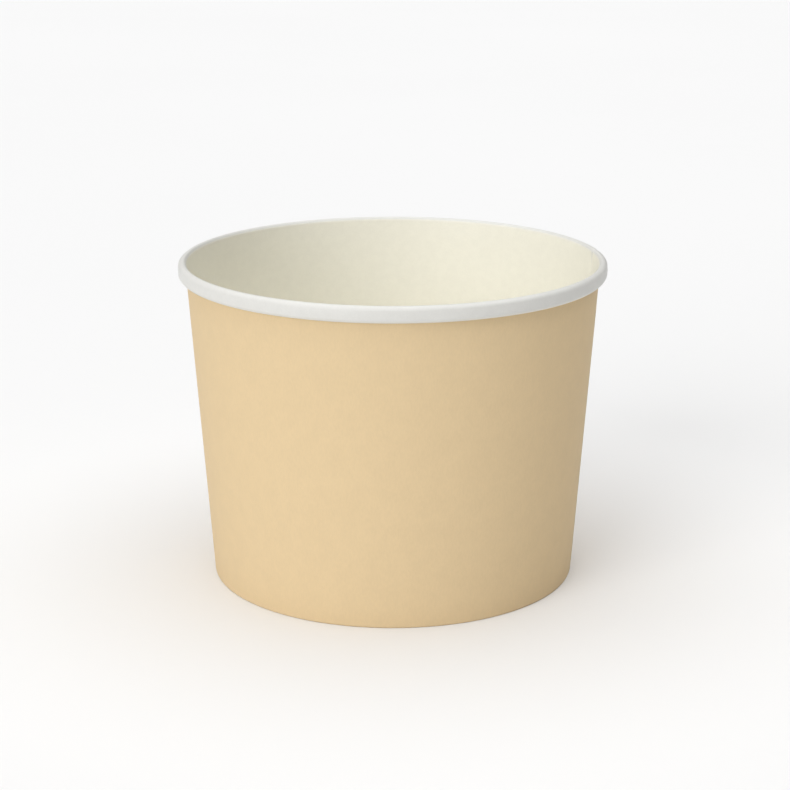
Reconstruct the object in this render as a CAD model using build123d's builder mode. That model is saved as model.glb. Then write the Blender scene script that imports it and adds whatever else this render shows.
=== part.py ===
from build123d import *
import os
from math import atan, cos, tan

# Paper tub for ice cream: a side wall wrapped from one blank of coated board, and a bottom
# disc held in the wall's folded base. Millimetres and degrees, +Z up, and the origin is on
# the table under the tub's axis. Radii are measured from that axis.

# Outside of the tub
height = 74.0
rim_radius = 49.0
wall_radius_under_rim = 47.15
base_radius = 42.1

# Boards
wall_board = 0.35
bottom_board = 0.35

# Rolled rim: the wall's top edge, curled outwards so that its white face shows
roll_height = 3.7
roll_bend = 0.95
roll_edge_gap = 0.45

# Base: the wall's bottom edge, folded inwards and up over the disc's skirt
hem_height = 5.5
fold_bend = 0.4
fold_crease = 0.05

# Bottom disc: set up inside the base, with its edge turned down as a skirt
recess_depth = 6.5
skirt_bend = 0.6
skirt_clearance = 0.1

# Lap seam, at the tub's right side: the blank's outer end lies over its inner end
outer_edge_angle = 0.0
lap_angle = 9.0
step_angle = 3.0

# Values that follow from these
roll_underside = height - roll_height
wall_slope = atan((wall_radius_under_rim - base_radius) / roll_underside)
roll_edge_radius = wall_radius_under_rim + roll_edge_gap


def radial_plane(angle):
    """Upright plane through the axis: its X runs outwards at that angle, and its Y runs up."""
    return Plane.XZ.rotated((0, 0, angle))


def wall_line(z, depth):
    """Radius at height z of a face in the wall, at that depth under the tub's white inside."""
    return base_radius + z * tan(wall_slope) - (wall_board - depth) / cos(wall_slope)


def hem_line(z, depth):
    """Radius at height z of a face in the hem, at that depth under its white face on the skirt."""
    return base_radius + z * tan(wall_slope) - (wall_board + bottom_board + depth) / cos(wall_slope)


def face_path(depth, fold_level, fold_radius):
    """One face of the board, from the hem's edge, under the base and up the wall to the roll's edge."""
    crown = height - depth
    flank = rim_radius - depth
    roll_radius = roll_bend - depth
    return FilletPolyline(
        (hem_line(hem_height, depth), hem_height),
        (hem_line(fold_level, depth), fold_level),
        (wall_line(fold_level, depth), fold_level),
        (wall_line(crown, depth), crown),
        (flank, crown),
        (flank, roll_underside + depth),
        (roll_edge_radius, roll_underside + depth),
        radius=[fold_radius, fold_radius, roll_radius, roll_radius, roll_radius],
    )


def board_section(angle, white_depth, printed_depth):
    """Section of the board between two depths. However many layers it has, its base is pressed flat."""
    with BuildSketch(radial_plane(angle)) as section:
        with BuildLine():
            white_face = face_path(white_depth, wall_board, fold_crease)
            printed_face = face_path(printed_depth, 0, fold_bend)
            Line(white_face @ 0, printed_face @ 0)
            Line(white_face @ 1, printed_face @ 1)
        make_face()
    return section.sketch


# Side wall: hem, base fold, wall and rolled rim are one board. It starts at its outer raw
# edge, steps in by its own thickness behind the lap, goes once round and ends at its inner
# raw edge, under its own start.
inner_edge_angle = outer_edge_angle + lap_angle
step_end = inner_edge_angle + step_angle
with BuildPart() as side_wall:
    # The lap, two layers thick
    revolve(board_section(outer_edge_angle, 0, 2 * wall_board), axis=Axis.Z, revolution_arc=lap_angle)
    # The single layer round the rest of the tub
    single_layer_arc = 360 - lap_angle - step_angle
    revolve(board_section(step_end, 0, wall_board), axis=Axis.Z, revolution_arc=single_layer_arc)
    # The step, from the outer layer's place in to the inner layer's
    outer_place = board_section(inner_edge_angle, wall_board, 2 * wall_board)
    inner_place = board_section(step_end, 0, wall_board)
    loft([outer_place, inner_place], ruled=True)
side_wall.part.label = "side_wall"


# Bottom disc: one board, with its edge turned down between the wall and the hem.
disc_top = recess_depth + bottom_board
skirt_foot = wall_board + skirt_clearance
with BuildPart() as bottom_disc:
    with BuildSketch(Plane.XZ):
        with BuildLine():
            upper_face = FilletPolyline(
                (0, disc_top),
                (wall_line(disc_top, 0), disc_top),
                (wall_line(skirt_foot, 0), skirt_foot),
                radius=skirt_bend,
            )
            under_face = FilletPolyline(
                (0, recess_depth),
                (hem_line(recess_depth, 0), recess_depth),
                (hem_line(skirt_foot, 0), skirt_foot),
                radius=skirt_bend - bottom_board,
            )
            Line(upper_face @ 0, under_face @ 0)
            Line(upper_face @ 1, under_face @ 1)
        make_face()
    revolve(axis=Axis.Z)
bottom_disc.part.label = "bottom_disc"


os.makedirs("parts", exist_ok=True)
export_step(side_wall.part, "parts/side_wall.step")
export_step(bottom_disc.part, "parts/bottom_disc.step")
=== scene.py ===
import bpy
import bmesh
import math
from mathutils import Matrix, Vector


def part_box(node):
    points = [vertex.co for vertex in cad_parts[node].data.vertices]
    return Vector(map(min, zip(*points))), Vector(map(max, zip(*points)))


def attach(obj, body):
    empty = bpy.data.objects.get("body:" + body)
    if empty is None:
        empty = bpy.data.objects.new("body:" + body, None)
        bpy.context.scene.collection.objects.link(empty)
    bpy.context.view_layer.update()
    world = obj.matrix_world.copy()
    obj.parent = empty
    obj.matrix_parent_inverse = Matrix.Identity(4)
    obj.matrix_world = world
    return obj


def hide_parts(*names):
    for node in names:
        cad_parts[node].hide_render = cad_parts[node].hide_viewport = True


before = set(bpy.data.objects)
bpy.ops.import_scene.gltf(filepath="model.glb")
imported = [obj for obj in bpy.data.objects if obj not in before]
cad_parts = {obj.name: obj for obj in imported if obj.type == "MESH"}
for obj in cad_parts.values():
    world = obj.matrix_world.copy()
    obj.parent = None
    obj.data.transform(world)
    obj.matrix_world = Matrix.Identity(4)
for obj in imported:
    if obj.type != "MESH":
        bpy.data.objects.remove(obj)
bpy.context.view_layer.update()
wallLow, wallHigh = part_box("side_wall")
discLow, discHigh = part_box("bottom_disc")
mm = 0.001
scene = bpy.context.scene
print("frame loaded:", sorted(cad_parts))


# Materials. Every pattern is in object space, and sizes are in metres.

noiseSpan = (0.3, 0.7)            # nearly all of a noise lies between these


def newMaterial(name):
    material = bpy.data.materials.new(name)
    material.use_nodes = True
    return material, material.node_tree, material.node_tree.nodes["Principled BSDF"]


def addNode(tree, kind, inputs=(), **settings):
    node = tree.nodes.new(kind)
    for key, value in settings.items():
        setattr(node, key, value)
    for key, value in dict(inputs).items():
        if isinstance(value, bpy.types.NodeSocket):
            tree.links.new(value, node.inputs[key])
        else:
            node.inputs[key].default_value = value
    return node


def objectCoords(tree):
    return addNode(tree, "ShaderNodeTexCoord").outputs["Object"]


def noise(tree, coords, size, detail=3, stretch=(1, 1, 1)):
    mapping = addNode(tree, "ShaderNodeMapping", {"Vector": coords, "Scale": stretch})
    inputs = {"Vector": mapping.outputs["Vector"], "Scale": 1 / size, "Detail": detail}
    return addNode(tree, "ShaderNodeTexNoise", inputs).outputs["Fac"]


def remap(tree, value, span, results):
    inputs = {"Value": value, "From Min": span[0], "From Max": span[1],
              "To Min": results[0], "To Max": results[1]}
    return addNode(tree, "ShaderNodeMapRange", inputs, interpolation_type="SMOOTHSTEP").outputs["Result"]


def product(tree, first, second):
    return addNode(tree, "ShaderNodeMath", {0: first, 1: second}, operation="MULTIPLY").outputs["Value"]


def mixed(tree, share, first, second):
    # a Mix node's colours are its inputs 6 and 7 and its output 2
    return addNode(tree, "ShaderNodeMix", {0: share, 6: first, 7: second}, data_type="RGBA").outputs[2]


def shaded(tree, colour, value):
    return addNode(tree, "ShaderNodeHueSaturation", {"Color": colour, "Value": value}).outputs["Color"]


def relief(tree, layers):
    # layers are (height map, depth of its relief)
    normal = None
    for height, depth in layers:
        inputs = {"Height": height, "Distance": depth, "Strength": 1.0}
        if normal is not None:
            inputs["Normal"] = normal
        normal = addNode(tree, "ShaderNodeBump", inputs).outputs["Normal"]
    return normal


def axisDistance(tree, coords):
    flat = addNode(tree, "ShaderNodeVectorMath", {0: coords, 1: (1, 1, 0)}, operation="MULTIPLY")
    length = addNode(tree, "ShaderNodeVectorMath", {0: flat.outputs["Vector"]}, operation="LENGTH")
    return length.outputs["Value"]


def boardGrain(tree, coords, look):
    # broad clouds and fine fibres, which give the board its tone and its relief
    cloud = noise(tree, coords, look["cloud"], look["cloudDetail"])
    fibre = noise(tree, coords, look["fibre"], stretch=look["fibreStretch"])
    tone = product(tree, remap(tree, cloud, noiseSpan, look["cloudTone"]),
                   remap(tree, fibre, noiseSpan, look["fibreTone"]))
    normal = relief(tree, [(cloud, look["cloudDepth"]), (fibre, look["fibreDepth"])])
    return fibre, tone, normal


printLook = {
    "colour": (0.77, 0.594, 0.357, 1),
    "cloud": 3.5 * mm,            # cloudiness of the board under the ink
    "cloudDetail": 4,
    "cloudTone": (0.99, 1.01),
    "cloudDepth": 0.012 * mm,
    "fibre": 0.35 * mm,
    "fibreStretch": (1, 1, 0.35),
    "fibreTone": (0.985, 1.015),
    "fibreDepth": 0.008 * mm,
    "roughness": (0.6, 0.74),
    "specular": 0.2,
}


def makeTanPrint():
    material, tree, shader = newMaterial("tanPrint")
    fibre, tone, normal = boardGrain(tree, objectCoords(tree), printLook)
    tree.links.new(shaded(tree, printLook["colour"], tone), shader.inputs["Base Color"])
    tree.links.new(remap(tree, fibre, noiseSpan, printLook["roughness"]), shader.inputs["Roughness"])
    tree.links.new(normal, shader.inputs["Normal"])
    shader.inputs["Specular IOR Level"].default_value = printLook["specular"]
    return material


whiteLook = {
    # painted light and shade: one white film, given a darker tone on the rim and a brighter one inside
    # the tub
    "rim": (0.74, 0.733, 0.70, 1),
    "inside": (0.925, 0.903, 0.803, 1),
    "paintedShadeEnds": (46.95 * mm, 47.3 * mm),  # distances from the axis where the inside's painted light turns to the rim's painted shade
    "cloud": 1.8 * mm,                    # ripple of the film over the fibres
    "cloudDetail": 2,
    "cloudTone": (0.99, 1.01),
    "cloudDepth": 0.015 * mm,
    "fibre": 0.4 * mm,
    "fibreStretch": (1, 1, 1),
    "fibreTone": (0.99, 1.01),
    "fibreDepth": 0.005 * mm,
    "roughness": (0.36, 0.5),
    "specular": 0.3,
}


def makeWhiteFilm():
    material, tree, shader = newMaterial("whiteFilm")
    coords = objectCoords(tree)
    fibre, tone, normal = boardGrain(tree, coords, whiteLook)
    # painted light and shade: the same film is brighter inside and darker on the rim, by distance from
    # the axis
    onPaintedShade = remap(tree, axisDistance(tree, coords), whiteLook["paintedShadeEnds"], (0, 1))
    colour = mixed(tree, onPaintedShade, whiteLook["inside"], whiteLook["rim"])
    tree.links.new(shaded(tree, colour, tone), shader.inputs["Base Color"])
    tree.links.new(remap(tree, fibre, noiseSpan, whiteLook["roughness"]), shader.inputs["Roughness"])
    tree.links.new(normal, shader.inputs["Normal"])
    shader.inputs["Specular IOR Level"].default_value = whiteLook["specular"]
    return material


edgeLook = {
    "colour": (0.72, 0.66, 0.53, 1),
    "fibre": 0.12 * mm,
    "fibreDetail": 4,
    "fibreTone": (0.9, 1.08),
    "fibreDepth": 0.02 * mm,
    "roughness": 0.9,
}


def makeCutEdge():
    material, tree, shader = newMaterial("cutEdge")
    fibre = noise(tree, objectCoords(tree), edgeLook["fibre"], edgeLook["fibreDetail"])
    tone = remap(tree, fibre, noiseSpan, edgeLook["fibreTone"])
    tree.links.new(shaded(tree, edgeLook["colour"], tone), shader.inputs["Base Color"])
    tree.links.new(relief(tree, [(fibre, edgeLook["fibreDepth"])]), shader.inputs["Normal"])
    shader.inputs["Roughness"].default_value = edgeLook["roughness"]
    return material


bareLook = {
    "colour": (0.8, 0.78, 0.7, 1),
    "cloud": 2.5 * mm,
    "cloudDetail": 4,
    "cloudTone": (0.985, 1.01),
    "cloudDepth": 0.02 * mm,
    "fibre": 0.3 * mm,
    "fibreStretch": (1, 0.3, 1),
    "fibreTone": (0.97, 1.02),
    "fibreDepth": 0.012 * mm,
    "roughness": 0.78,
}


def makeBareBoard():
    material, tree, shader = newMaterial("bareBoard")
    fibre, tone, normal = boardGrain(tree, objectCoords(tree), bareLook)
    tree.links.new(shaded(tree, bareLook["colour"], tone), shader.inputs["Base Color"])
    tree.links.new(normal, shader.inputs["Normal"])
    shader.inputs["Roughness"].default_value = bareLook["roughness"]
    return material


tanPrint = makeTanPrint()
whiteFilm = makeWhiteFilm()
cutEdge = makeCutEdge()
bareBoard = makeBareBoard()
print("materials made")


# Shared mesh steps. A section is drawn in the XZ plane, with X as the radius, and spun about Z.

def smoothStep(share):
    share = min(max(share, 0), 1)
    return share * share * (3 - 2 * share)


def wave(count, angle):
    # swings between 1 and 0, that many times round the tub
    return 0.5 + 0.5 * math.cos(count * angle)


def edgeMiddle(edge):
    first, second = edge.verts
    return (first.co + second.co) / 2


def roundedChain(corners, bends, cuts):
    # corners are (radius, height) from one end to the other; bends are (radius, segments) for
    # each corner between the two ends; cuts are {straight run: extra points on it}
    places = [Vector((radius, 0, height)) for radius, height in corners]
    chain = bmesh.new()
    verts = [chain.verts.new(place) for place in places]
    for pair in zip(verts, verts[1:]):
        chain.edges.new(pair)
    for run, extra in cuts.items():
        middle = (places[run] + places[run + 1]) / 2
        straight = min(chain.edges, key=lambda edge: (edgeMiddle(edge) - middle).length)
        bmesh.ops.subdivide_edges(chain, edges=[straight], cuts=extra)
    for index, (bend, segments) in enumerate(bends, start=1):
        place = places[index]
        turn = (place - places[index - 1]).angle(places[index + 1] - place)
        corner = min(chain.verts, key=lambda vert: (vert.co - place).length)
        bmesh.ops.bevel(chain, geom=[corner], offset=bend * math.tan(turn / 2), offset_type="OFFSET",
                        affect="VERTICES", segments=segments, profile=0.5, material=-1)
    # read the points back in order, from the first corner on
    vert = min(chain.verts, key=lambda vert: (vert.co - places[0]).length)
    edge, points = None, []
    while True:
        points.append((vert.co.x, vert.co.z))
        onward = [other for other in vert.link_edges if other is not edge]
        if not onward:
            break
        edge = onward[0]
        vert = edge.other_vert(vert)
    chain.free()
    return points


def drawLine(bm, points, closed):
    verts = [bm.verts.new((radius, 0, height)) for radius, height in points]
    nextVerts = verts[1:] + verts[:1] if closed else verts[1:]
    edges = [bm.edges.new(pair) for pair in zip(verts, nextVerts)]
    return verts, edges


def spun(bm, geometry, angle, steps, merge=False):
    result = bmesh.ops.spin(bm, geom=geometry, cent=(0, 0, 0), axis=(0, 0, 1), dvec=(0, 0, 0),
                            angle=angle, steps=steps, use_merge=merge, use_normal_flip=False,
                            use_duplicate=False)
    return result["geom_last"]


def paintFaces(bm, side, paints):
    # paints are the material numbers for faces on side 0, on side 1 and across the edge between
    for face in bm.faces:
        sides = {vert[side] for vert in face.verts}
        face.material_index = paints[2] if len(sides) > 1 else paints[sides.pop()]


def edgeBetweenMaterials(edge):
    return len({face.material_index for face in edge.link_faces}) > 1


def finishPiece(bm, name, materials, node):
    bmesh.ops.recalc_face_normals(bm, faces=bm.faces)
    for face in bm.faces:
        face.smooth = True
    for edge in bm.edges:
        edge.smooth = not edgeBetweenMaterials(edge)
    mesh = bpy.data.meshes.new(name)
    bm.to_mesh(mesh)
    bm.free()
    piece = bpy.data.objects.new(name, mesh)
    scene.collection.objects.link(piece)
    for material in materials:
        mesh.materials.append(material)
    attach(piece, "root")
    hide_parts(node)
    print(name, "has", sum(len(polygon.vertices) - 2 for polygon in mesh.polygons), "triangles")


# Side wall: one board from the hem, under the fold and up to the rolled rim's edge.

boxRoom = 0.005 * mm              # keeps the roll's facets inside the frame's box
wall = {
    "rimRadius": min(wallHigh.x, wallHigh.y, -wallLow.x, -wallLow.y) - boxRoom,
    "height": wallHigh.z,
    "radiusUnderRim": 47.15 * mm,
    "baseRadius": 42.1 * mm,
    "board": 0.35 * mm,
    "discBoard": 0.35 * mm,
    "rollHeight": 3.7 * mm,
    "rollBend": 0.95 * mm,
    "rollSegments": 8,
    "rollEdgeGap": 0.45 * mm,
    "rollBulge": 0.22 * mm,       # how far the roll's flank leans in at its top and bottom
    "hemHeight": 5.5 * mm,
    "foldBend": 0.4 * mm,
    "foldCrease": 0.05 * mm,      # bend of the white face, inside the fold
    "foldSegments": 4,
    "hemCuts": 6,                 # extra points along the section's three long runs
    "wallCuts": 11,
    "flankCuts": 1,
    "lapAngle": math.radians(9),  # the blank's outer raw edge is at +X
    "lapSteps": 15,
    "stepAngle": math.radians(3),
    "stepSteps": 8,
    "roundSteps": 572,
    "glueLine": 0.01 * mm,        # between the lap's two layers
    "foldLift": 0.05 * mm,        # the inner layer's fold, above the outer one's
    "knurls": 96,                 # teeth of the roller that presses the hem
    "knurlDepth": 0.15 * mm,
    "knurlBand": (1.0 * mm, 4.6 * mm),
}
wallUnderRoll = wall["height"] - wall["rollHeight"]
wallTaper = (wall["radiusUnderRim"] - wall["baseRadius"]) / wallUnderRoll
acrossBoard = math.hypot(1, wallTaper)      # a board's width along the radius, for a width of 1


def wallRadius(height, depth):
    # depth is measured from the white face towards the printed one
    return wall["baseRadius"] + height * wallTaper - (wall["board"] - depth) * acrossBoard


def hemRadius(height, depth):
    boards = wall["board"] + wall["discBoard"]
    return wall["baseRadius"] + height * wallTaper - (boards + depth) * acrossBoard


def bulged(radius, height):
    # the roll's flank isn't flat, but stands out most at its middle
    outwards = (radius - wall["radiusUnderRim"]) / (wall["rimRadius"] - wall["radiusUnderRim"])
    fromMiddle = 1 + 2 * (height - wall["height"]) / wall["rollHeight"]
    return radius - wall["rollBulge"] * fromMiddle ** 2 * smoothStep(2 * outwards), height


def boardFace(depth, foldLevel, foldBend):
    crown = wall["height"] - depth
    flank = wall["rimRadius"] - depth
    underRoll = wallUnderRoll + depth
    corners = [
        (hemRadius(wall["hemHeight"], depth), wall["hemHeight"]),
        (hemRadius(foldLevel, depth), foldLevel),
        (wallRadius(foldLevel, depth), foldLevel),
        (wallRadius(crown, depth), crown),
        (flank, crown),
        (flank, underRoll),
        (wall["radiusUnderRim"] + wall["rollEdgeGap"], underRoll),
    ]
    fold = (foldBend, wall["foldSegments"])
    roll = (wall["rollBend"] - depth, wall["rollSegments"])
    cuts = {0: wall["hemCuts"], 2: wall["wallCuts"], 4: wall["flankCuts"]}
    chain = roundedChain(corners, [fold, fold, roll, roll, roll], cuts)
    return [bulged(radius, height) for radius, height in chain]


def boardOutline(layer):
    # layer 0 is the one that shows inside, and layer 1 laps over it outside
    depth = layer * (wall["board"] + wall["glueLine"])
    white = boardFace(depth, wall["board"], wall["foldCrease"])
    printed = boardFace(depth + wall["board"], 0, wall["foldBend"])
    return white, printed


def capEnd(bm, verts, isPrinted):
    # closes one raw end of the blank with a strip across the board
    ends = set(verts)
    rails = []
    for side in (0, 1):
        rails += [edge for edge in bm.edges
                  if all(vert in ends and vert[isPrinted] == side for vert in edge.verts)]
    bmesh.ops.bridge_loops(bm, edges=rails)


def makeSideWall():
    bm = bmesh.new()
    isPrinted = bm.verts.layers.int.new("isPrinted")
    overOut = bm.verts.layers.float.new("overOut")
    overUp = bm.verts.layers.float.new("overUp")
    white, printed = boardOutline(0)
    whiteOver, printedOver = boardOutline(1)
    points = white + printed[::-1]
    pointsOver = whiteOver + printedOver[::-1]
    start, startEdges = drawLine(bm, points, closed=True)
    for index, vert in enumerate(start):
        vert[isPrinted] = int(index >= len(white))
        vert[overOut] = pointsOver[index][0] - points[index][0]
        vert[overUp] = pointsOver[index][1] - points[index][1]

    # the lap and the step first, then once round and under the lap to the inner raw edge
    last = spun(bm, start + startEdges, wall["lapAngle"], wall["lapSteps"])
    last = spun(bm, last, wall["stepAngle"], wall["stepSteps"])
    outerEnd = set(bm.verts)
    last = spun(bm, last, 2 * math.pi - wall["stepAngle"], wall["roundSteps"])
    finish = [item for item in last if isinstance(item, bmesh.types.BMVert)]
    print("board spun:", len(bm.verts), "points")

    knurlLow, knurlHigh = wall["knurlBand"]
    pastInnerEdge = wall["lapAngle"] + wall["stepAngle"] / 2
    for vert in bm.verts:
        angle = math.atan2(vert.co.y, vert.co.x)
        outwards = Vector((math.cos(angle), math.sin(angle), 0))
        inHem = vert[isPrinted] and vert.co.to_2d().length < hemRadius(vert.co.z, 0)
        if inHem and knurlLow < vert.co.z < knurlHigh:
            vert.co += outwards * wall["knurlDepth"] * wave(wall["knurls"], angle)
        if vert in outerEnd:
            over = 1 - smoothStep((angle - wall["lapAngle"]) / wall["stepAngle"])
            vert.co += (outwards * vert[overOut] + Vector((0, 0, vert[overUp]))) * over
        elif angle < pastInnerEdge and vert.co.z < wall["board"] / 2:
            vert.co.z += wall["foldLift"] * smoothStep(1 + angle / wall["stepAngle"])
    capEnd(bm, start, isPrinted)
    capEnd(bm, finish, isPrinted)
    paintFaces(bm, isPrinted, paints=(1, 0, 2))
    finishPiece(bm, "sideWall", [tanPrint, whiteFilm, cutEdge], "side_wall")


makeSideWall()


# Bottom disc: one board with its edge turned down between the wall and the hem.

disc = {
    "board": wall["discBoard"],
    "skirtBend": 0.6 * mm,
    "bendSegments": 6,
    "rings": 7,                   # extra points from the middle to the edge
    "skirtCuts": 4,               # and down the skirt
    "turnSteps": 288,
    "mergeGap": 0.001 * mm,
    "sag": 0.15 * mm,             # the middle lies a little lower than the edge
    "puckers": 72,                # where the edge was drawn down
    "puckerDepth": 0.06 * mm,
}


def discFace(level, radiusAt, bend):
    foot = discLow.z
    corners = [(0, level), (radiusAt(level, 0), level), (radiusAt(foot, 0), foot)]
    cuts = {0: disc["rings"], 1: disc["skirtCuts"]}
    return roundedChain(corners, [(bend, disc["bendSegments"])], cuts)


def makeBottomDisc():
    under = discHigh.z - disc["board"]
    upper = discFace(discHigh.z, wallRadius, disc["skirtBend"])
    lower = discFace(under, hemRadius, disc["skirtBend"] - disc["board"])
    bm = bmesh.new()
    isUnder = bm.verts.layers.int.new("isUnder")
    verts, edges = drawLine(bm, upper + lower[::-1], closed=False)
    for index, vert in enumerate(verts):
        vert[isUnder] = int(index >= len(upper))
    spun(bm, verts + edges, 2 * math.pi, disc["turnSteps"], merge=True)
    bmesh.ops.remove_doubles(bm, verts=bm.verts, dist=disc["mergeGap"])
    paintFaces(bm, isUnder, paints=(0, 1, 2))

    flatEdge = discHigh.x - disc["skirtBend"]
    for vert in bm.verts:
        if vert.co.z < under - disc["skirtBend"]:
            continue
        radius = vert.co.to_2d().length
        vert.co.z -= disc["sag"] * (1 - min(radius / flatEdge, 1) ** 2)
        drawn = smoothStep((radius - flatEdge) / disc["skirtBend"])
        pucker = wave(disc["puckers"], math.atan2(vert.co.y, vert.co.x))
        vert.co -= vert.co.normalized() * disc["puckerDepth"] * pucker * drawn
    finishPiece(bm, "bottomDisc", [whiteFilm, bareBoard, cutEdge], "bottom_disc")


makeBottomDisc()


# Stage: a pale floor in a pale room, soft lights and the camera.

stageLook = {
    "floorColour": (0.87, 0.87, 0.87, 1),
    "floorTone": (0.995, 1.005),
    "floorCloud": 0.4,
    "floorRoughness": 0.9,
    "floorSpecular": 0,
    "floorRadius": 4.0,
    "floorSides": 96,
    "roomColour": (1, 1, 1, 1),
    "roomLight": 0.03,
    "roomSeen": 0.95,
}


def makeFloor():
    material, tree, shader = newMaterial("floorPaint")
    cloud = noise(tree, objectCoords(tree), stageLook["floorCloud"])
    tone = remap(tree, cloud, noiseSpan, stageLook["floorTone"])
    tree.links.new(shaded(tree, stageLook["floorColour"], tone), shader.inputs["Base Color"])
    shader.inputs["Roughness"].default_value = stageLook["floorRoughness"]
    shader.inputs["Specular IOR Level"].default_value = stageLook["floorSpecular"]
    bm = bmesh.new()
    bmesh.ops.create_circle(bm, cap_ends=True, segments=stageLook["floorSides"],
                            radius=stageLook["floorRadius"])
    mesh = bpy.data.meshes.new("floor")
    bm.to_mesh(mesh)
    bm.free()
    mesh.materials.append(material)
    floor = bpy.data.objects.new("floor", mesh)
    scene.collection.objects.link(floor)


def makeWorld():
    # the room lights softly, and behind the floor it is as pale as the floor
    world = bpy.data.worlds.new("studio")
    world.use_nodes = True
    tree = world.node_tree
    seen = addNode(tree, "ShaderNodeLightPath").outputs["Is Camera Ray"]
    strength = remap(tree, seen, (0, 1), (stageLook["roomLight"], stageLook["roomSeen"]))
    tree.links.new(strength, tree.nodes["Background"].inputs["Strength"])
    tree.nodes["Background"].inputs["Color"].default_value = stageLook["roomColour"]
    scene.world = world


# degrees: azimuth 0 is the camera's side, and positive is to its right
softSuns = {
    "key": {"azimuth": -37, "elevation": 20, "spread": 40, "strength": 1.4},
    "overhead": {"azimuth": 0, "elevation": 90, "spread": 90, "strength": 2.87},
}


def makeSoftSun(name, azimuth, elevation, spread, strength):
    lamp = bpy.data.lights.new(name, "SUN")
    lamp.angle = math.radians(spread)
    lamp.energy = strength
    light = bpy.data.objects.new(name, lamp)
    around, up = math.radians(azimuth), math.radians(elevation)
    away = Vector((math.sin(around) * math.cos(up), -math.cos(around) * math.cos(up), math.sin(up)))
    light.rotation_euler = away.to_track_quat("Z", "Y").to_euler()
    scene.collection.objects.link(light)


cameraSetup = {
    "place": (0.0005, -0.46524, 0.17466),
    "pitch": 16.011,
    "lens": 94.56,
}


def makeCamera():
    data = bpy.data.cameras.new("camera")
    data.lens = cameraSetup["lens"]
    camera = bpy.data.objects.new("camera", data)
    camera.location = cameraSetup["place"]
    camera.rotation_euler = (math.radians(90 - cameraSetup["pitch"]), 0, 0)
    scene.collection.objects.link(camera)
    scene.camera = camera


makeFloor()
makeWorld()
for sunName, sunSetup in softSuns.items():
    makeSoftSun(sunName, **sunSetup)
makeCamera()
scene.view_settings.view_transform = "Standard"
print("stage, lights and camera made")
